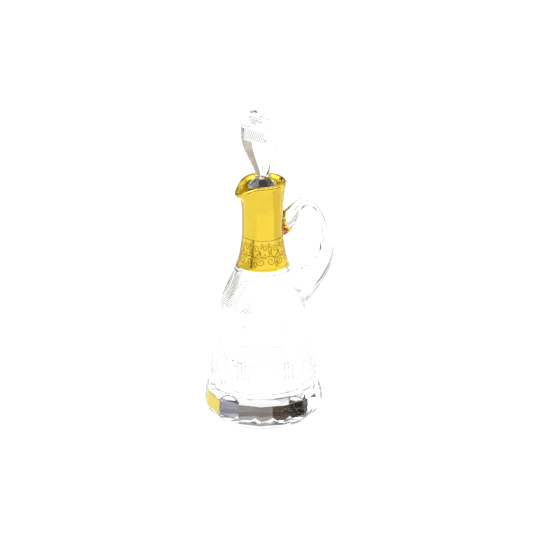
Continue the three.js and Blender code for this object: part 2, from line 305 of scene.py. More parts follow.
def gold_plain(name, rough_lo, rough_hi, light, dark, wave):
    """Fired polished gold: brush-laid tone changes, hairline wiping marks round the neck and soft waviness."""
    m, t, b = new_mat(name)
    b.inputs["Metallic"].default_value = 1.0
    cloud = noise(t, 95.0, 5.0, 0.6)
    face = ramp(t, cloud.outputs["Fac"], [(0.25, dark), (0.72, light)])
    under = ramp(t, cloud.outputs["Fac"], [(0.3, (0.10, 0.035, 0.006)), (0.5, (0.20, 0.085, 0.012)), (0.7, (0.30, 0.15, 0.02))])
    side = node(t, "ShaderNodeAttribute", attribute_name="glass_side")
    pick = node(t, "ShaderNodeMix", data_type="RGBA")
    t.links.new(side.outputs["Fac"], pick.inputs["Factor"])
    t.links.new(face, pick.inputs[6])
    t.links.new(under, pick.inputs[7])
    t.links.new(pick.outputs[2], b.inputs["Base Color"])
    c = node(t, "ShaderNodeTexCoord")
    s = node(t, "ShaderNodeMapping")
    s.inputs["Scale"].default_value = (60.0, 60.0, 2200.0)
    t.links.new(c.outputs["Object"], s.inputs["Vector"])
    h = node(t, "ShaderNodeTexNoise")
    h.inputs["Scale"].default_value = 1.0
    h.inputs["Detail"].default_value = 3.0
    t.links.new(s.outputs["Vector"], h.inputs["Vector"])
    inner = node(t, "ShaderNodeAttribute", attribute_name="dull")
    rough = node(t, "ShaderNodeMath", operation="MULTIPLY_ADD")
    t.links.new(inner.outputs["Fac"], rough.inputs[0])
    rough.inputs[1].default_value = 0.2
    t.links.new(remap(t, h.outputs["Fac"], rough_lo, rough_hi, 0.3, 0.75), rough.inputs[2])
    t.links.new(rough.outputs[0], b.inputs["Roughness"])
    low = noise(t, 55.0, 2.0, 0.4)
    mix = node(t, "ShaderNodeMath", operation="MULTIPLY_ADD")
    t.links.new(h.outputs["Fac"], mix.inputs[0])
    mix.inputs[1].default_value = 0.03
    t.links.new(low.outputs["Fac"], mix.inputs[2])
    bump(t, b, mix.outputs[0], wave, 0.001)
    return m


def gold_etched(name, light, ground):
    """Polished gold with engraved outlines: dark brown in the cut lines, a slightly duller stippled ground between the scrolls."""
    m, t, b = new_mat(name)
    b.inputs["Metallic"].default_value = 1.0
    at = node(t, "ShaderNodeAttribute", attribute_name="relief")
    cloud = noise(t, 120.0, 4.0, 0.55)
    tone = ramp(t, at.outputs["Fac"], [(0.0, (0.22, 0.13, 0.012)), (0.5, (0.36, 0.235, 0.02)), (0.8, ground), (1.0, light)])
    worn = node(t, "ShaderNodeMix", data_type="RGBA", blend_type="MULTIPLY")
    t.links.new(remap(t, cloud.outputs["Fac"], 0.0, 0.5, 0.4, 0.75), worn.inputs["Factor"])
    t.links.new(tone, worn.inputs[6])
    worn.inputs[7].default_value = (0.8, 0.76, 0.7, 1)
    t.links.new(worn.outputs[2], b.inputs["Base Color"])
    t.links.new(remap(t, at.outputs["Fac"], 0.42, 0.13), b.inputs["Roughness"])
    inv = node(t, "ShaderNodeMath", operation="SUBTRACT")
    inv.inputs[0].default_value = 1.0
    t.links.new(at.outputs["Fac"], inv.inputs[1])
    stip = noise(t, 1500.0, 3.0, 0.6)
    st = node(t, "ShaderNodeMath", operation="MULTIPLY")
    t.links.new(stip.outputs["Fac"], st.inputs[0])
    t.links.new(inv.outputs[0], st.inputs[1])
    bump(t, b, st.outputs[0], 0.3, 0.0002)
    return m


def gilt_with_painted_reflections(name):
    """Uneven fired gilding over the handle's root in small patches: gold, with deep red and near-black patches as
    painted reflection and shade from inside the glass root, the palest stop a painted glint, and lighter away from the
    neck.
    """
    m, t, b = new_mat(name)
    b.inputs["Metallic"].default_value = 0.55
    patch = noise(t, 330.0, 3.0, 0.6)
    at = node(t, "ShaderNodeAttribute", attribute_name="out")
    mix = node(t, "ShaderNodeMath", operation="MULTIPLY_ADD")
    t.links.new(remap(t, patch.outputs["Fac"], -1.1, 1.1), mix.inputs[0])
    mix.inputs[1].default_value = 1.0
    t.links.new(remap(t, at.outputs["Fac"], 0.12, 0.72), mix.inputs[2])
    # painted reflection: near-black and deep red stops stand for dark reflections in the glass root, the palest stop
    # for a glint
    t.links.new(ramp(t, mix.outputs[0], [(0.05, (0.010, 0.003, 0.002)), (0.17, (0.30, 0.012, 0.006)), (0.30, (0.36, 0.05, 0.01)),
                                         (0.42, (0.62, 0.40, 0.04)), (0.66, (0.82, 0.60, 0.10)), (0.92, (0.92, 0.84, 0.5))]), b.inputs["Base Color"])
    t.links.new(remap(t, patch.outputs["Fac"], 0.5, 0.22, 0.35, 0.7), b.inputs["Roughness"])
    wrinkle = noise(t, 900.0, 3.0, 0.5)
    bump(t, b, wrinkle.outputs["Fac"], 0.5, 0.0004)
    return m


def foil(name, light, dark):
    """Yellow metallised paper seal: soft sheen, fine paper tooth and small creases."""
    m, t, b = new_mat(name)
    b.inputs["Metallic"].default_value = 0.25
    cloud = noise(t, 260.0, 4.0, 0.6)
    t.links.new(ramp(t, cloud.outputs["Fac"], [(0.25, dark), (0.7, light)]), b.inputs["Base Color"])
    t.links.new(remap(t, cloud.outputs["Fac"], 0.32, 0.5), b.inputs["Roughness"])
    tooth = noise(t, 3200.0, 3.0, 0.6)
    bump(t, b, tooth.outputs["Fac"], 0.25, 0.0001)
    return m


CRYSTAL = glass("cut_crystal", 1.55, (0.985, 0.99, 0.99), 120.0, 0.012, lines=(0.03, 0.03, 0.034))
HANDLE_GLASS = glass("drawn_glass", 1.53, (0.985, 0.99, 0.99), 90.0, 0.03)
STOPPER_GLASS = glass("stopper_crystal", 1.55, (0.985, 0.99, 0.99), 120.0, 0.008, frost=(0.2125, 0.2305, 0.03), lines=(0.02, 0.02, 0.02))
GOLD = gold_plain("polished_gold", 0.05, 0.11, (0.685, 0.495, 0.048), (0.645, 0.459, 0.041), 0.05)
LIP_GOLD = gold_plain("lip_gold", 0.03, 0.07, (0.71, 0.515, 0.051), (0.665, 0.47, 0.044), 0.004)
ETCHED = gold_etched("etched_gold", (0.70, 0.51, 0.047), (0.65, 0.462, 0.04))
ROOT_GILT_PAINTED_REFLECTIONS = gilt_with_painted_reflections("root_gilt_painted_reflections")
FOIL = foil("foil_seal", (0.78, 0.63, 0.115), (0.70, 0.55, 0.085))


# ---------------------------------------------------------------- vessel
def vessel():
    n = 480
    a = PHASE + TAU * np.arange(n) / n
    panel = (a - PHASE) % (TAU / PANELS) - math.pi / PANELS        # from the middle of its panel
    cosp = np.cos(panel)
    idx = np.arange(n)
    s = Skin()

    def cut(z):
        hollow = 0.0
        if 11.8 < z < 26.4:
            hollow = 0.14 * math.sin(math.pi * (z - 11.8) / 14.6) ** 0.7 * (1 - (panel / (math.pi / PANELS)) ** 2)
        return np.interp(z, FOOT_Z, FOOT_A) / cosp - hollow

    # comb: hollow upright flutes with round heads, dots above them, crossing lines on the shoulder
    FL_LOW, FL_TOP, FL_N, FL_D = 35.5, 68.5, 80, 0.42
    DOT_Z = [71.5 + 3.25 * k for k in range(6)]

    def radius(z):
        r = np.minimum(np.full(n, float(out_r(z))), cut(z))
        if FL_LOW < z < FL_TOP:
            u = (idx % (n // FL_N)) / (n // FL_N) * 2 - 1
            head = max(0.0, (z - (FL_TOP - 3.6)) / 3.6)
            d = np.maximum(FL_D * (1 - u * u) - FL_D * head ** 2, 0.0) * float(smooth(FL_LOW, FL_LOW + 13.0, z))
            r = r - d
        return r

    # the crossing lines are cut only in some fields round the body; the dark tone in the cuts is painted shade, laid
    # mostly in windows towards the camera and the side opposite it. Both are the same on the front and the back half;
    # turn counts from their middles, turn 0 facing the camera
    turn = (np.degrees(a) + 108.0 + 90.0) % 180.0 - 90.0

    def window(lo, hi, soft=2.0):
        return smooth(lo - soft, lo + soft, turn) * (1 - smooth(hi - soft, hi + soft, turn))

    deep = np.maximum(window(-31, -15), window(22, 35))
    fields = np.maximum.reduce([window(lo, hi, 4.0) * f for lo, hi, f in ((-64, -12, 1.0), (30, 70, 0.45))])

    # row heights
    rows = [0.0, 2.7, 5.4, 8.6, 11.8] + list(np.linspace(12.8, 26.4, 18)) + list(np.linspace(27.0, 33.0, 13)) + [33.4, 34.4, 35.5]
    rows += list(np.linspace(37.0, 63.0, 14)) + list(np.arange(64.9, 69.0, 0.6)) + [69.4]
    cut_rows = [(z, None) for z in rows]
    for k, z in enumerate(DOT_Z):
        cut_rows += [(z - 0.75, ("rim", k)), (z, ("dot", k)), (z + 0.75, ("rim", k))]
    cut_rows += [(z, None) for z in (92.0, 97, 103, 109, 114)]
    # crossing lines: the row step follows the radius so the lines keep their slant
    z, hatch = 118.5, []
    while z < 153.0:
        hatch.append(z)
        r0 = float(out_r(z))
        slope = (float(out_r(z + 0.5)) - float(out_r(z - 0.5)))
        z += TAU * r0 / n * 0.92 / math.hypot(1, slope)
    LINE = 6
    last = None
    prev_j = None
    for z, tag in cut_rows:
        r = radius(z)
        if tag:
            step = n // FL_N
            off = 0 if tag[1] % 2 == 0 else step // 2
            gap = np.abs((idx - off + step // 2) % step - step // 2)
            dot = np.where(gap == 0, 1.0, np.where(gap == 1, 0.5, 0.0)) if tag[0] == "dot" else 0.55 * (gap == 0)
            r = np.where((gap == 0) & (tag[0] == "dot"), r - 0.42, r)
            # painted shade on the dots: full only in windows facing the camera and the far side, faint elsewhere
            seen = window(-28, 28) if tag[1] >= 2 else np.maximum(window(-82, -27), window(60, 82))
            value = dot * (0.06 + 0.84 * seen)
        else:
            # painted shade on the flute edges, the round heads and the row above them, strongest towards the camera
            value = ((idx % (n // FL_N)) == 0) * (0.75 * deep * float(smooth(46, 54, z)) + 0.6 * float(smooth(63.5, 65.5, z)) * (0.15 + 0.85 * window(-40, 40))) * (FL_LOW < z < FL_TOP)
            if abs(z - 69.4) < 0.3:
                value = 0.75 * np.maximum(window(-31, -24, 1.0), window(23, 29, 1.0))
        cur = s.ring(r, z, n)
        s.tag[-1] = np.clip(value, 0.0, 1.0)
        if last is None:
            s.fan(cur, (0, 0, 0), up=False)
        else:
            s.join(last, cur)
        last = cur
    for j, z in enumerate(hatch):
        r = radius(z)
        fade = float(smooth(0, 5, j) * smooth(0, 5, len(hatch) - 1 - j))
        on = ((idx - j) % LINE < 2) * fields * fade
        r = r - 0.2 * on
        cur = s.ring(r, z, n)
        # painted shade along the crossing lines
        s.tag[-1] = 0.62 * on
        if j == 0:
            s.join(last, cur)
        else:
            jj = j - 1
            s.join(last, cur, split=lambda i: 1)
        last = cur
    # ring groove and the step back under the gilding
    for z, d in ((153.8, 0.0), (154.5, 0.0), (155.0, -0.5), (155.5, 0.0), (157.4, 0.0), (158.5, -0.15)):
        cur = s.ring(out_r(z) + d, z, n)
        s.join(last, cur)
        last = cur
    m = 96
    under = 0.56
    for k, z in enumerate([159.0] + list(np.linspace(161, 239.6, 44))):
        cur = s.ring(gilt_r(z) - under, z, m, bend=spout)
        s.join(last, cur)
        last = cur
    for r, z in ((22.75, 241.9), (23.3, 243.3), (23.2, 244.5), (22.65, 245.5), (21.7, 245.95), (20.5, 245.85), (19.45, 245.0), (18.6, 243.6), (17.65, 241.1)):
        cur = s.ring(r, z, m, bend=spout)
        s.join(last, cur)
        last = cur
    for z in list(np.linspace(238.5, 206, 18)) + list(np.linspace(203, 46, 50)) + [42, 38.5, 35.5, 33.2, 31.5, 30.2, 29.2, 28.5]:
        cur = s.ring(in_r(z), z, m, bend=spout)
        s.join(last, cur)
        last = cur
    for r, z in ((36.0, 27.75), (30.0, 27.15), (20.0, 26.9), (9.0, 26.8)):
        cur = s.ring(r, z, m)
        s.join(last, cur)
        last = cur
    s.fan(last, (0, 0, 26.78), up=True)
    ob = s.make("crystal_body", sharp_deg=16)
    attribute(ob, "painted_cut_shade", np.concatenate(s.tag))
    return ob


body = vessel()
place(body, "vessel", "vessel_body", CRYSTAL)

# ---------------------------------------------------------------- handle
HANDLE = np.array([
    (12.0, 199.5, 13.0, 9.5), (20.0, 199.8, 12.6, 9.0), (26.0, 202.8, 10.0, 7.6), (31.5, 208.8, 7.4, 6.2), (37.5, 215.4, 5.6, 5.4),
    (43.8, 219.0, 5.1, 5.0), (50.4, 217.3, 4.4, 4.7), (55.6, 212.4, 4.1, 4.6), (59.6, 206.2, 4.6, 4.7), (64.0, 196.2, 5.3, 5.0), (67.3, 183.0, 6.7, 5.6),
    (68.6, 168.0, 7.8, 6.4), (65.6, 156.0, 8.9, 7.4), (58.6, 145.8, 11.2, 8.6), (50.6, 137.0, 13.6, 9.8), (42.0, 129.6, 15.6, 10.6), (32.0, 121.5, 16.6, 10.8)])


def spline(pts, t):
    """Centripetal Catmull-Rom through pts, t in 0..1 over the knots."""
    p = np.vstack([2 * pts[0] - pts[1], pts, 2 * pts[-1] - pts[-2]])
    k = np.concatenate([[0], np.cumsum(np.maximum(np.linalg.norm(np.diff(p[:, :2], axis=0), axis=1), 1e-6) ** 0.5)])
    lo, hi = k[1], k[-2]
    q = lo + (hi - lo) * np.asarray(t)
    i = np.clip(np.searchsorted(k, q) - 1, 1, len(p) - 3)
    q = q[:, None]
    k0, k1, k2, k3 = (k[i + d][:, None] for d in (-1, 0, 1, 2))
    p0, p1, p2, p3 = (p[i + d] for d in (-1, 0, 1, 2))
    a1 = (k1 - q) / (k1 - k0) * p0 + (q - k0) / (k1 - k0) * p1
    a2 = (k2 - q) / (k2 - k1) * p1 + (q - k1) / (k2 - k1) * p2
    a3 = (k3 - q) / (k3 - k2) * p2 + (q - k2) / (k3 - k2) * p3
    b1 = (k2 - q) / (k2 - k0) * a1 + (q - k0) / (k2 - k0) * a2
    b2 = (k3 - q) / (k3 - k1) * a2 + (q - k1) / (k3 - k1) * a3
    return (k2 - q) / (k2 - k1) * b1 + (q - k1) / (k2 - k1) * b2


def surface_r(z):
    z = np.asarray(z, float)
    return np.where(z < 158.3, out_r(np.minimum(z, 158.2)), gilt_r(np.clip(z, 158.4, 240)))


def handle():
    stations, m = 900, 48
    c = spline(HANDLE, np.linspace(0, 1, stations))
    # small crimps left by the tool near the upper root and on the outer bend
    run = np.concatenate([[0], np.cumsum(np.linalg.norm(np.diff(c[:, :2], axis=0), axis=1))])
    for x, z, half in ((38.5, 215.8, 5.0), (59.0, 207.0, 4.5)):
        k = int(np.argmin(np.hypot(c[:, 0] - x, c[:, 1] - z)))
        off = run - run[k]
        c[:, 2] -= 0.45 * np.exp(-(off / half) ** 2) * (0.5 + 0.5 * np.cos(TAU * off / 3.0))
    d = np.gradient(c[:, :2], axis=0)
    d /= np.linalg.norm(d, axis=1)[:, None]
    nx, nz = -d[:, 1], d[:, 0]
    a = TAU * np.arange(m) / m
    e = 0.86
    cu = np.sign(np.cos(a)) * np.abs(np.cos(a)) ** e
    cv = np.sign(np.sin(a)) * np.abs(np.sin(a)) ** e
    rails = np.stack([c[:, None, 0] + nx[:, None] * cu * c[:, None, 2],
                      cv[None, :] * c[:, None, 3],
                      c[:, None, 1] + nz[:, None] * cu * c[:, None, 2]], -1)          # station, rail, xyz
    clear = np.hypot(rails[..., 0], rails[..., 1]) - surface_r(rails[..., 2]) - 0.06
    mid = int(np.argmax(c[:, 0]))
    out = np.zeros((121, m, 3))
    for k in range(m):
        up = np.where(clear[:mid, k] < 0)[0]
        lo = np.where(clear[mid:, k] < 0)[0]
        i0, i1 = (up[-1] if len(up) else 0), (mid + lo[0] if len(lo) else stations - 1)

        def cross(i, j):
            f = clear[i, k] / (clear[i, k] - clear[j, k])
            return i + f * (j - i)
        t0 = cross(i0, i0 + 1) if len(up) else 0.0
        t1 = cross(i1 - 1, i1) if len(lo) else stations - 1.0
        q = np.linspace(t0, t1, 121)
        j = np.clip(q.astype(int), 0, stations - 2)
        f = (q - j)[:, None]
        out[:, k] = rails[j, k] * (1 - f) + rails[j + 1, k] * f
    s = Skin()

    def cap(loop, up):
        """Rings shrinking to the middle of a root, laid on the surface that carries it."""
        mid_p = loop.mean(0)
        rows = []
        for f in (0.66, 0.33):
            p = mid_p + (loop - mid_p) * f
            r = surface_r(p[:, 2]) + 0.06
            p[:, 0] = np.sqrt(np.maximum(r * r - p[:, 1] ** 2, 1.0))
            rows.append(p)
        c0 = mid_p.copy()
        c0[0] = float(surface_r(c0[2])) + 0.06
        return rows, c0

    rows, c0 = cap(out[0], True)
    first = None
    centre = s.row([c0])
    for p in rows[::-1]:
        cur = s.row(p)
        if first is None:
            for i in range(m):
                s.f.append((int(centre[0]), int(cur[(i + 1) % m]), int(cur[i])))
        else:
            s.join(first, cur)
        first = cur
    last = first
    for k in range(121):
        cur = s.row(out[k])
        s.join(last, cur)
        last = cur
    rows, c0 = cap(out[-1], False)
    for p in rows:
        cur = s.row(p)
        s.join(last, cur)
        last = cur
    s.fan(last, c0, up=True)
    v = np.concatenate(s.p)
    vol = 0.0
    for f in s.f:
        for q in range(1, len(f) - 1):
            vol += np.dot(v[f[0]], np.cross(v[f[q]], v[f[q + 1]]))
    if vol < 0:
        s.f = [tuple(reversed(f)) for f in s.f]
    return s.make("drawn_handle", sharp_deg=50), out


grip, RAILS = handle()
place(grip, "vessel", "handle", HANDLE_GLASS)


def root_patch():
    """Thin crumpled gilding run over the near side of the handle's upper root, coloured with painted reflections."""
    ks, nt = np.arange(25, 48), 22
    mid = RAILS.mean(1)
    s = Skin()

    def sheet(lift):
        rows = []
        for k in ks:
            end = 5.4 + 0.9 * math.sin(2.3 * k) + 0.5 * math.sin(5.1 * k + 1.0)
            t = np.linspace(0.12, end, nt)
            j = t.astype(int)
            f = (t - j)[:, None]
            p = RAILS[j, k] * (1 - f) + RAILS[j + 1, k] * f
            c = mid[j] * (1 - f) + mid[j + 1] * f
            out = p - c
            out /= np.linalg.norm(out, axis=1)[:, None]
            crumple = 0.22 + 0.2 * np.sin(1.7 * k + 2.9 * t) * np.sin(3.1 * t - 0.8 * k)
            rows.append(s.row(p + out * (lift + crumple)[:, None]))
            s.tag[-1] = t / end
        return rows

    lo, hi = sheet(0.06), sheet(0.34)
    nk = len(ks)
    quad = lambda *q: s.f.append(tuple(map(int, q)))
    for i in range(nk - 1):
        for j in range(nt - 1):
            quad(hi[i][j], hi[i + 1][j], hi[i + 1][j + 1], hi[i][j + 1])
            quad(lo[i][j], lo[i][j + 1], lo[i + 1][j + 1], lo[i + 1][j])
        quad(lo[i][0], lo[i + 1][0], hi[i + 1][0], hi[i][0])
        quad(hi[i][nt - 1], hi[i + 1][nt - 1], lo[i + 1][nt - 1], lo[i][nt - 1])
    for j in range(nt - 1):
        quad(lo[0][j], hi[0][j], hi[0][j + 1], lo[0][j + 1])
        quad(lo[nk - 1][j], lo[nk - 1][j + 1], hi[nk - 1][j + 1], hi[nk - 1][j])
    ob = s.make("gilt_root_patch_painted_reflections", sharp_deg=40)
    attribute(ob, "out", np.concatenate(s.tag))
    return ob


patch = root_patch()
place(patch, "vessel", None, ROOT_GILT_PAINTED_REFLECTIONS)

# ---------------------------------------------------------------- gilding
UNITS = 7
R0 = 22.6
UNIT_W = TAU * R0 / UNITS
PATTERN_H = 26.4


def scroll_lines():
    """One repeat of a running scroll with leaves, as points (s, t) along its engraved lines, in millimetres."""
    pts = []

    def stroke(p):
        p = np.asarray(p, float)
        seg = np.concatenate([[0], np.cumsum(np.linalg.norm(np.diff(p, axis=0), axis=1))])
        q = np.linspace(0, seg[-1], max(3, int(seg[-1] / 0.2)))
        pts.append(np.stack([np.interp(q, seg, p[:, 0]), np.interp(q, seg, p[:, 1])], -1))

    def bow(x0, y0, x1, y1, sag):
        q = np.linspace(0, 1, 30)
        dx, dy = x1 - x0, y1 - y0
        off = sag * np.sin(math.pi * q) / math.hypot(dx, dy)
        stroke(np.stack([x0 + dx * q - dy * off, y0 + dy * q + dx * off], -1))

    def leaf(x, y, ang, length, width):
        x1, y1 = x + length * math.cos(ang), y + length * math.sin(ang)
        bow(x, y, x1, y1, width)
        bow(x, y, x1, y1, -width)

    def volute(cx, cy, r, start, turns, sense):
        q = np.linspace(0, 1, 120)
        ang = start + sense * turns * TAU * q
        rad = r * (1 - q) + 0.9 * q
        stroke(np.stack([cx + rad * np.cos(ang), cy + rad * np.sin(ang)], -1))

    volute(5.4, 7.4, 5.0, 2.3, 1.5, -1)                        # lower row of scrolls
    volute(15.7, 6.6, 4.6, 0.9, 1.5, +1)
    volute(10.4, 19.0, 3.9, 3.6, 1.3, -1)                      # smaller ones above
    volute(0.2, 19.8, 3.5, -0.5, 1.3, +1)
    bow(2.1, 11.2, 3.2, 17.6, -1.4)                            # stems
    bow(18.6, 10.2, 14.4, 17.2, 1.2)
    bow(9.6, 10.6, 6.8, 17.2, 1.5)
    leaf(10.6, 1.2, 1.57, 5.4, 1.2)
    leaf(10.6, 9.4, 1.2, 5.2, 1.1)
    leaf(0.2, 9.6, 1.8, 5.0, 1.1)
    leaf(5.2, 14.2, 1.3, 4.4, 1.0)
    leaf(15.4, 13.2, 1.9, 4.4, 1.0)
    leaf(5.2, 20.4, 1.9, 4.6, 1.0)
    leaf(15.6, 19.6, 1.2, 5.0, 1.0)
    return np.concatenate(pts)


def frieze():
    n, rows = UNITS * 76, 108
    zs = np.linspace(FRIEZE_LOW, FRIEZE_TOP, rows)
    per = n // UNITS
    sx = (np.arange(per) + 0.5) / per * UNIT_W
    t0, t1 = FRIEZE_LOW + 2.6, FRIEZE_TOP - 0.6
    ty = (zs - t0) / (t1 - t0) * PATTERN_H
    marks = scroll_lines()
    wide = np.concatenate([marks + (k * UNIT_W, 0) for k in (-1, 0, 1)])
    X, Y = np.meshgrid(sx, ty)
    near = np.full(X.shape, 9.0)
    for x, y in wide:
        near = np.minimum(near, np.hypot(X - x, Y - y))
    line = np.exp(-(near / 0.34) ** 2)                         # the cut itself
    dish = np.exp(-(near / 0.95) ** 2)                         # metal dished towards it
    inside = ((zs > t0 - 0.1) & (zs < t1 + 0.1))[:, None]
    line, dish = np.where(inside, line, 0.0), np.where(inside, dish, 0.0)
    edge = np.exp(-((zs - (t0 - 0.6)) / 0.25) ** 2)[:, None]
    line = np.maximum(line, edge * 0.6)
    line, dish = np.tile(line, (1, UNITS)), np.tile(dish, (1, UNITS))
    s = Skin()
    first = last = None
    vals = []
    for j, z in enumerate(zs):
        r = gilt_r(z) - 0.07 * line[j] - 0.05 * dish[j]
        cur = s.ring(r, z, n, phase=PHASE, bend=spout)
        vals.append(1 - line[j])
        if last is not None:
            s.join(last, cur)
        else:
            first = cur
        last = cur
    m = n // 4
    for z in (FRIEZE_TOP,) + tuple(np.linspace(FRIEZE_TOP - 1, FRIEZE_LOW + 1, 12)) + (FRIEZE_LOW,):
        cur = s.ring(gilt_r(z) - 0.5, z, m, bend=spout)
        vals.append(np.full(m, 0.3))
        s.join(last, cur)
        last = cur
    s.join(last, first)
    ob = s.make("gilt_scroll_frieze", sharp_deg=60)
    attribute(ob, "relief", np.concatenate(vals))
    return ob


scrolls = frieze()
place(scrolls, "vessel", "gilt_frieze_band", ETCHED)


def sleeve():
    n = 288
    s = Skin()
    low, high = FRIEZE_TOP + 0.3, LIP_LOW
    prof = [(gilt_r(low) - 0.35, low), (gilt_r(low + 0.25), low + 0.25), (gilt_r(low + 0.9), low + 0.9), (gilt_r(low + 1.3), low + 1.3), (gilt_r(low + 1.7), low + 1.7)]
    prof += [(gilt_r(z), z) for z in np.linspace(low + 2.4, high, 60)]
    prof += [(gilt_r(high) - 0.5, high)]
    prof += [(gilt_r(z) - 0.5, z) for z in np.linspace(high - 1, low + 1, 14)]
    first = last = None
    for r, z in prof:
        cur = s.ring(r, z, n, bend=spout)
        if last is not None:
            s.join(last, cur)
        else:
            first = cur
        last = cur
    s.join(last, first)
    ob = s.make("gilt_neck", sharp_deg=40)
    attribute(ob, "glass_side", np.repeat(np.arange(len(prof)) > 64, n))
    return ob


neck = sleeve()
place(neck, "vessel", "gilt_neck_sleeve", GOLD)

LIP = np.array([
    (float(gilt_r(LIP_LOW)), LIP_LOW), (22.98, 239.6), (23.65, 241.8), (24.05, 243.6), (23.85, 245.1), (23.1, 246.25), (21.8, 246.7), (20.4, 246.55), (19.0, 245.6), (17.9, 244.1),
    (16.9, 241.5), (16.0, 238.8), (15.2, 235.6)])
LIP_BACK = np.array([
    (15.68, 235.4), (16.48, 238.6), (17.38, 241.3), (18.35, 243.75), (19.3, 245.15), (20.5, 246.02), (21.7, 246.15), (22.75, 245.75), (23.35, 244.75), (23.52, 243.6), (23.2, 242.1), (22.45, 239.9),
    (float(gilt_r(LIP_LOW)) - 0.5, LIP_LOW)])


def lip():
    n = 288
    s = Skin()
    face = spline(np.hstack([LIP, np.zeros((len(LIP), 2))]), np.linspace(0, 1, 84))[:, :2]
    back = spline(np.hstack([LIP_BACK, np.zeros((len(LIP_BACK), 2))]), np.linspace(0, 1, 24))[:, :2]
    first = last = None
    for r, z in np.vstack([face, back]):
        cur = s.ring(r, z, n, bend=spout)
        if last is not None:
            s.join(last, cur)
        else:
            first = cur
        last = cur
    s.join(last, first)
    ob = s.make("gilt_rolled_lip", sharp_deg=50)
    attribute(ob, "glass_side", np.repeat(np.arange(108) > 83, n))
    attribute(ob, "dull", np.repeat(smooth(50, 58, np.arange(108)), n))
    return ob


rim = lip()
place(rim, "vessel", "gilt_lip", LIP_GOLD)


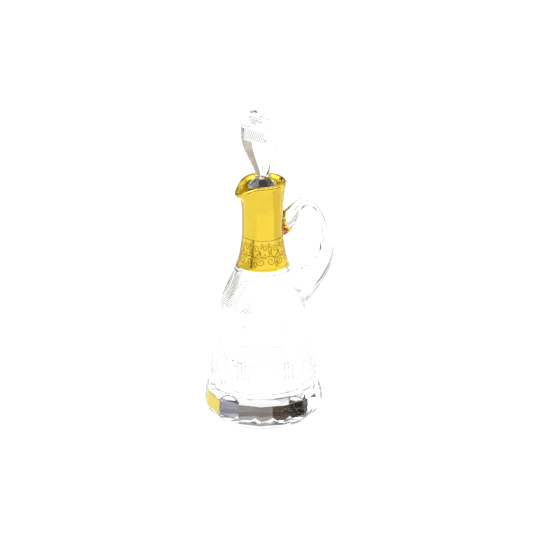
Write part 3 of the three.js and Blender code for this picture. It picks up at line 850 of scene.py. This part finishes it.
# ---------------------------------------------------------------- stopper
def stopper():
    turn = math.radians(-148.0) - math.pi / 2
    lean_k = 0.034
    per = 14                                   # points along each of the eight edges
    s = Skin()
    m = 8 * per

    def put(z, pts):
        pts = np.asarray(pts, float)
        x = pts[:, 0] * math.cos(turn) - pts[:, 1] * math.sin(turn) - lean_k * max(0.0, z - 252.0)
        y = pts[:, 0] * math.sin(turn) + pts[:, 1] * math.cos(turn)
        return s.row(np.stack([x, y, np.full(len(pts), z)], -1))

    def edges(c):
        c = np.asarray(c, float)
        return np.concatenate([c[i] + (c[(i + 1) % 8] - c[i]) * np.linspace(0, 1, per, endpoint=False)[:, None] for i in range(8)])

    def head(a, h, k):
        w = a + 1.6 * (h - k)
        return edges([(a, h), (-a, h), (-w, k), (-w, -k), (-a, -h), (a, -h), (w, -k), (w, k)])

    def oct_(R):
        b = np.radians(67.5 + 45 * np.arange(8))
        return edges(np.stack([R * np.cos(b), R * np.sin(b)], -1))

    def circ(r):
        b = math.radians(67.5) + TAU * np.arange(m) / m
        return np.stack([r * np.cos(b), r * np.sin(b)], -1)

    rows = [(211.6, circ(11.6)), (212.2, circ(12.5)), (213.0, circ(13.0))]
    rows += [(z, circ(np.interp(z, [213, 226, 234], [13.0, 14.0, 14.25]))) for z in np.linspace(214, 234, 9)]
    rows += [(238.6, oct_(15.0)), (241.0, oct_(15.1)), (249.4, head(1.8, 6.1, 2.8)), (250.0, head(1.7, 5.9, 2.7)), (253.6, head(1.75, 5.9, 2.7)), (276, head(10.6, 9.9, 5.2)), (288.6, head(13.3, 10.6, 5.6))]
    # ruled girdle: fine upright vees between two plain lines
    low, high = head(13.0, 10.1, 5.1), head(13.2, 10.2, 5.2)
    rows += [(289.0, low)]
    last = None
    for z, p in rows:
        cur = put(z, p)
        if last is None:
            s.fan(cur, (0, 0, z), up=False)
        else:
            s.join(last, cur)
        last = cur
    # girdle: fine slanting vees cut across the broad face, its corners and ends left plain
    COLS = [44, 6, 4, 6, 12, 6, 4, 6]

    def corners(a, h, k):
        w = a + 1.6 * (h - k)
        return [(a, h), (-a, h), (-w, k), (-w, -k), (-a, -h), (a, -h), (w, -k), (w, k)]

    def ruled(c, j, depth):
        c = np.asarray(c, float)
        out = []
        for i in range(8):
            p0, p1 = c[i], c[(i + 1) % 8]
            e = p1 - p0
            q = np.arange(COLS[i])
            p = p0 + e * (q / COLS[i])[:, None]
            if i == 0:
                nrm = np.array([-e[1], e[0]]) / np.linalg.norm(e)
                if np.dot(nrm, (p0 + p1) / 2) < 0:
                    nrm = -nrm
                vee = np.array([0.0, 0.5, 1.0, 0.5])[(q - j) % 4] * ((q > 0) & (q < COLS[i]))
                p = p - nrm * (depth * vee)[:, None]
            out.append(p)
        return np.concatenate(out)

    g = []
    girdle = [289.01] + list(np.linspace(289.6, 299.8, 9)) + [300.39]
    for j, z in enumerate(girdle):
        f = (z - 289.0) / 11.4
        c = corners(13.0 + 0.2 * f, 10.1 + 0.1 * f, 5.1 + 0.1 * f)
        plain = j in (0, len(girdle) - 1)
        cur = put(z, ruled(c, j, 0.0 if plain else 0.3))
        if not plain:
            # painted shade: a dark tone along the ruled vees of the broad face
            s.tag[-1][:COLS[0]] = np.array([0.4, 0.55, 0.8, 0.55])[(np.arange(COLS[0]) - j) % 4]
        if g:
            s.join(g[-1], cur, split=lambda i: 1)
        g.append(cur)
    # close the ledges between the plain rows and the ruled rows with fans edge by edge
    def bridge(coarse, fine, up):
        o = 0
        for i in range(8):
            nc, nf = per, COLS[i]
            A = [int(coarse[(i * per + q) % m]) for q in range(nc + 1)]
            B = [int(fine[(o + q) % len(fine)]) for q in range(nf + 1)]
            o += nf
            ia = ib = 0
            while ia < nc or ib < nf:
                if ib >= nf or (ia < nc and (ia + 1) / nc <= (ib + 1) / nf):
                    f = (A[ia], A[ia + 1], B[ib])
                    ia += 1
                else:
                    f = (A[ia], B[ib + 1], B[ib])
                    ib += 1
                s.f.append(f if up else tuple(reversed(f)))

    bridge(last, g[0], True)
    top = put(300.4, high)
    bridge(top, g[-1], False)
    last = top
    for z, p in ((300.8, head(13.6, 10.7, 5.7)), (302.6, head(13.5, 10.65, 5.65)), (303.0, head(13.15, 10.3, 5.3)), (303.6, head(13.15, 10.3, 5.3)), (304.0, head(13.4, 10.55, 5.55)),
                 (306.6, head(13.2, 10.4, 5.4)), (313.4, head(7.6, 7.4, 3.4)), (317.0, head(4.2, 5.0, 2.2))):
        cur = put(z, p)
        s.join(last, cur)
        last = cur
    lean = -lean_k * (317.0 - 252.0)
    s.fan(last, (lean, 0, 317.0), up=True)
    ob = s.make("cut_stopper", sharp_deg=8)
    attribute(ob, "painted_cut_shade", np.concatenate(s.tag))
    return ob


plug = stopper()
place(plug, "stopper_body", "stopper", STOPPER_GLASS)


# ---------------------------------------------------------------- seal on the foot
def foot_radius(a, z):
    """Cut surface of the foot at an angle (radians) and height."""
    step = TAU / PANELS
    off = (a - PHASE) % step - step / 2
    cut = np.interp(z, FOOT_Z, FOOT_A) / np.cos(off)
    return np.minimum(out_r(z), cut)


def seal():
    """A paper-thin patch laid over one panel and round its corner, with a pressed border line."""
    a0, a1 = math.radians(172.6), math.radians(204.0)
    mid, half_w, half_h, corner, thick = (a0 + a1) / 2, (a1 - a0) / 2 * 58.2, 7.4, 1.5, 0.26
    z0, tilt = 18.6, 0.06
    edge = math.radians(2.2 + 180.0)

    def outline(inset):
        w, h, c = half_w - inset, half_h - inset, max(corner - inset, 0.3)
        pts = []
        for sx, sy, b0, n in ((1, 1, 0, 28), (-1, 1, 90, 40), (-1, -1, 180, 28), (1, -1, 270, 40)):
            for q in np.linspace(0, 90, 10):
                b = math.radians(b0 + q)
                pts.append((sx * (w - c) + c * math.cos(b), sy * (h - c) + c * math.sin(b)))
            nxt = {0: (-(w - c), h), 90: (-w, -(h - c)), 180: (w - c, -h), 270: (w, h - c)}[b0]
            last = pts[-1]
            k = 40 if b0 in (0, 180) else 14
            for f in np.linspace(0, 1, k + 2)[1:-1]:
                pts.append((last[0] + (nxt[0] - last[0]) * f, last[1] + (nxt[1] - last[1]) * f))
        return np.array(pts)

    def at(p2, d):
        p2 = np.asarray(p2, float)
        a = mid + p2[:, 0] / 58.2
        z = z0 + p2[:, 1] - tilt * p2[:, 0]
        r = foot_radius(a, z)
        # stiff paper rounds the sharp corner and lifts a little off the glass there
        soft = 0.25 * np.exp(-((a - edge) * 58.2 / 1.6) ** 2)
        r = r - soft + 0.34 + d
        return np.stack([r * np.cos(a), r * np.sin(a), z], -1)

    s = Skin()
    last = None
    steps = [(0.35, 0.0), (0.0, 0.0), (0.0, thick * 0.75), (0.1, thick), (0.55, thick), (0.7, thick - 0.1), (0.95, thick - 0.1), (1.1, thick)]
    steps += [(q, thick) for q in np.linspace(1.8, 7.0, 8)]
    under = []
    for inset, d in steps:
        cur = s.row(at(outline(inset), d))
        if last is None:
            under = cur
        else:
            s.join(last, cur)
        last = cur

    def close(loop, d, up):
        """Fills the middle strip of a loop with rows of quads between its long sides."""
        n = len(loop)
        c = [int(i) for i in s.row(at([(x, 0.0) for x in np.linspace(half_w - 8.2, -(half_w - 8.2), 24)], d))]
        pts = outline(7.0 if up else 0.35)
        prev = None
        order = []
        for i in range(n):
            x = pts[i][0]
            q = int(round((half_w - 8.2 - x) / (2 * (half_w - 8.2)) * 23))
            order.append(c[min(23, max(0, q))])
        for i in range(n):
            j = (i + 1) % n
            f = [int(loop[i]), int(loop[j]), order[j]]
            if order[j] != order[i]:
                f.append(order[i])
            s.f.append(tuple(f) if up else tuple(reversed(f)))

    close(last, thick, True)
    close(under, 0.0, False)
    return s.make("foil_seal", sharp_deg=35)


sticker = seal()
place(sticker, "vessel", "foot_label", FOIL)

# ---------------------------------------------------------------- floor, light, camera
fl = bpy.data.meshes.new("floor")
fl.from_pydata([(-9, -9, 0), (9, -9, 0), (9, 9, 0), (-9, 9, 0)], [], [(0, 1, 2, 3)])
floor = bpy.data.objects.new("floor", fl)
bpy.context.scene.collection.objects.link(floor)
floor.location = (0, 0, -0.0002)
fm, ft, fb = new_mat("pale_floor")
fn = noise(ft, 3.0, 3.0)
ft.links.new(ramp(ft, fn.outputs["Fac"], [(0.3, (0.90, 0.90, 0.90)), (0.7, (0.92, 0.92, 0.92))]), fb.inputs["Base Color"])
fb.inputs["Roughness"].default_value = 0.9
fb.inputs["Specular IOR Level"].default_value = 0.1
fb.inputs["Emission Color"].default_value = (1.0, 1.0, 1.0, 1.0)
fb.inputs["Emission Strength"].default_value = 0.44      # lit from below, like a light table
fl.materials.append(fm)

world = bpy.data.worlds.new("studio")
bpy.context.scene.world = world
world.use_nodes = True
bg = world.node_tree.nodes["Background"]
bg.inputs["Color"].default_value = (1.0, 1.0, 1.0, 1.0)
bg.inputs["Strength"].default_value = 0.95

VIEW_AZ = -18.0


def card(name, az0, az1, colour, el=None, standing=None, lying=None, dist=6.0, fade=None, lie_z=0.0006):
    """Studio card round the object, seen only in glass and gold: part of a far sphere between two elevations (el),
    of an upright cylinder between two heights in metres (standing), or of the table top between two distances (lying).
    Azimuth counts from the camera's side, positive to the right. fade is the colour at the upper or outer edge."""
    na, ne = 24, 8
    v, f = [], []
    for j in range(ne + 1):
        k = j / ne
        for i in range(na + 1):
            a = math.radians(VIEW_AZ + az0 + (az1 - az0) * i / na)
            if lying:
                d, z = lying[0] + (lying[1] - lying[0]) * k, lie_z
            elif standing:
                d, z = dist, standing[0] + (standing[1] - standing[0]) * k
            else:
                e = math.radians(el[0] + (el[1] - el[0]) * k)
                d, z = dist * math.cos(e), 0.05 + dist * math.sin(e)
            v.append((d * math.sin(a), -d * math.cos(a), z))
    for j in range(ne):
        for i in range(na):
            q = j * (na + 1) + i
            f.append((q, q + 1, q + na + 2, q + na + 1))
    me = bpy.data.meshes.new(name)
    me.from_pydata(v, [], f)
    ob = bpy.data.objects.new(name, me)
    bpy.context.scene.collection.objects.link(ob)
    at = me.attributes.new("along", "FLOAT", "POINT")
    at.data.foreach_set("value", np.repeat(np.linspace(0, 1, ne + 1), na + 1).astype(np.float32))
    m = bpy.data.materials.new(name)
    m.use_nodes = True
    t = m.node_tree
    t.nodes.clear()
    o = node(t, "ShaderNodeOutputMaterial")
    e = node(t, "ShaderNodeEmission")
    if fade:
        w = node(t, "ShaderNodeAttribute", attribute_name="along")
        t.links.new(ramp(t, w.outputs["Fac"], [(0.0, colour), (1.0, fade)]), e.inputs["Color"])
    else:
        e.inputs["Color"].default_value = (*colour, 1.0)
    t.links.new(e.outputs["Emission"], o.inputs["Surface"])
    me.materials.append(m)
    ob.visible_camera = False
    ob.visible_diffuse = False
    ob.visible_shadow = False
    return ob


# low behind the object: what the foot's panels show
card("card_panel_1", 144, 160, (0.62, 0.63, 0.69), el=(18, 29.3), fade=(0.05, 0.048, 0.1))
card("card_panel_2", 160, 172, (0.56, 0.53, 0.52), el=(20, 29.6), fade=(0.08, 0.066, 0.062))
card("card_panel_3", 172, 187, (0.5, 0.45, 0.41), el=(20, 29.6), fade=(0.11, 0.085, 0.07))
card("card_panel_4", 187, 202, (0.17, 0.12, 0.085), el=(20, 29.6), fade=(0.02, 0.012, 0.01))
card("card_panel_5", 202, 216, (0.008, 0.006, 0.008), el=(16.5, 29.3), fade=(0.012, 0.008, 0.008))
card("card_corner_right", 204, 216, (0.008, 0.008, 0.012), el=(30.2, 36))
card("card_corner_left", 145, 152, (0.02, 0.02, 0.08), el=(31, 34))
card("card_spot_left", 208, 226, (0.3, 0.3, 0.38), lying=(0.08, 0.096))
card("card_front_low", -44, 74, (0.012, 0.011, 0.013), dist=0.107, standing=(0.0, 0.024))
card("card_under", 0, 360, (1.25, 1.25, 1.25), lying=(0.0, 0.0585), lie_z=-0.0001)
# soft boxes and gaps between them, for the gold
card("card_front_white", -33, 66, (1.43, 1.43, 1.45), dist=0.46, standing=(0.0, 0.42))
card("card_front_high", -62, 50, (1.55, 1.55, 1.57), el=(16, 43))
card("card_left_strip", -57, -46, (0.3, 0.25, 0.18), dist=0.5, standing=(0.05, 0.25), fade=(0.04, 0.03, 0.02))
card("card_left_high", 227, 268, (1.5, 1.5, 1.5), el=(18, 65))
card("card_right_gap", 58, 80, (2.2, 2.15, 2.05), el=(9, 60))
card("card_top_left", 232, 286, (3.4, 3.4, 3.4), el=(24, 64), dist=5.9)
card("card_top_front", -30, 58, (2.4, 2.4, 2.4), el=(39, 47), dist=5.9)
card("card_lip_line", -40, 85, (0.1, 0.075, 0.05), dist=0.12, standing=(0.25, 0.285))
card("card_right_high", 80, 117, (1.5, 1.5, 1.5), el=(-1, 65))
card("card_back_high", 143, 190, (0.75, 0.72, 0.68), el=(42, 78), fade=(0.35, 0.32, 0.3))
card("card_back_left", 190, 219, (0.5, 0.47, 0.44), el=(42, 78), fade=(0.3, 0.28, 0.26))
card("card_back_line", 196, 232, (0.2, 0.17, 0.15), el=(42, 48), dist=5.9)
card("card_right_floor", 58, 112, (1.12, 1.1, 1.07), lying=(0.2, 0.75))
# for the stopper's and handle's cuts
card("card_tan", 156, 164, (0.52, 0.44, 0.345), dist=1.7, standing=(0.0, 0.3), fade=(0.37, 0.3, 0.22))
card("card_tan_floor", 153, 167, (0.2, 0.15, 0.11), lying=(0.95, 1.46))
card("card_tan_low", 155, 165, (0.55, 0.48, 0.39), lying=(1.46, 1.76))
card("card_handle_dark", 211.5, 230, (0.5, 0.49, 0.45), dist=1.0, standing=(0.0, 0.15), fade=(0.42, 0.41, 0.38))
card("card_shoulder_left", 218.5, 230, (0.7, 0.69, 0.65), lying=(0.5, 1.0))
card("card_handle_grey", 194, 213, (0.66, 0.65, 0.61), lying=(0.36, 0.7), fade=(0.45, 0.44, 0.42))
card("card_handle_streak", 197, 208.5, (0.2, 0.165, 0.15), lying=(0.7, 1.06), fade=(0.1, 0.08, 0.07))
card("card_handle_crimp", 174, 181, (0.3, 0.3, 0.31), lying=(0.4, 0.475))
card("card_handle_end", 199, 220, (0.2, 0.13, 0.08), el=(1, 14), fade=(0.03, 0.018, 0.012))
card("card_handle_tip", 218, 231, (0.03, 0.018, 0.012), el=(17, 26))
card("card_neck_facet", 219, 230, (0.26, 0.25, 0.28), dist=1.0, standing=(0.39, 0.47))
card("card_crown_left", 188, 215, (0.72, 0.70, 0.76), lying=(0.125, 0.235), lie_z=0.15)
card("card_crown_right", 150, 163, (0.72, 0.70, 0.76), lying=(0.19, 0.235), lie_z=0.15)
card("card_facet_white", 205, 211.5, (1.25, 1.25, 1.25), dist=1.62, standing=(0.2, 0.34))
card("card_cream", 206, 210.5, (1.0, 0.9, 0.74), dist=1.6, standing=(0.257, 0.272))
card("card_neck_right", 222, 232, (0.16, 0.17, 0.22), dist=1.2, standing=(0.5, 0.8))
card("card_edge_tan", 119, 129, (0.50, 0.43, 0.34), el=(0, 7.6), fade=(0.42, 0.38, 0.33))
card("card_edge_blue", 119, 129, (0.36, 0.37, 0.42), el=(7.6, 14))
card("card_girdle_corner", 121, 130, (0.16, 0.12, 0.09), lying=(0.9, 1.75))
card("card_handle_inner", 136, 147, (0.62, 0.60, 0.68), lying=(0.42, 0.68))

cam = bpy.data.cameras.new("camera")
cam.sensor_fit = "HORIZONTAL"
cam.sensor_width = 36.0
cam.lens = 36.0 * 2000.0 / 540.0
cam.clip_start, cam.clip_end = 0.05, 50.0
cob = bpy.data.objects.new("camera", cam)
bpy.context.scene.collection.objects.link(cob)
el, az, roll, dist = math.radians(22.5), math.radians(-18.0), math.radians(-0.25), 2000.0
back = np.array([math.sin(az) * math.cos(el), -math.cos(az) * math.cos(el), math.sin(el)])
right = np.array([math.cos(az), math.sin(az), 0.0])
up = np.cross(back, right)
r2 = math.cos(roll) * right + math.sin(roll) * up
u2 = -math.sin(roll) * right + math.cos(roll) * up
pos = (np.array([6.84, -2.22, 150.87]) + back * dist) * MM
M = np.eye(4)
M[:3, 0], M[:3, 1], M[:3, 2], M[:3, 3] = r2, u2, back, pos
cob.matrix_world = Matrix(M.tolist())
bpy.context.scene.camera = cob

sc = bpy.context.scene
sc.view_settings.view_transform = "Standard"
sc.cycles.max_bounces = 32
sc.cycles.transmission_bounces = 28
sc.cycles.glossy_bounces = 12
sc.cycles.use_denoising = True

bpy.context.view_layer.update()
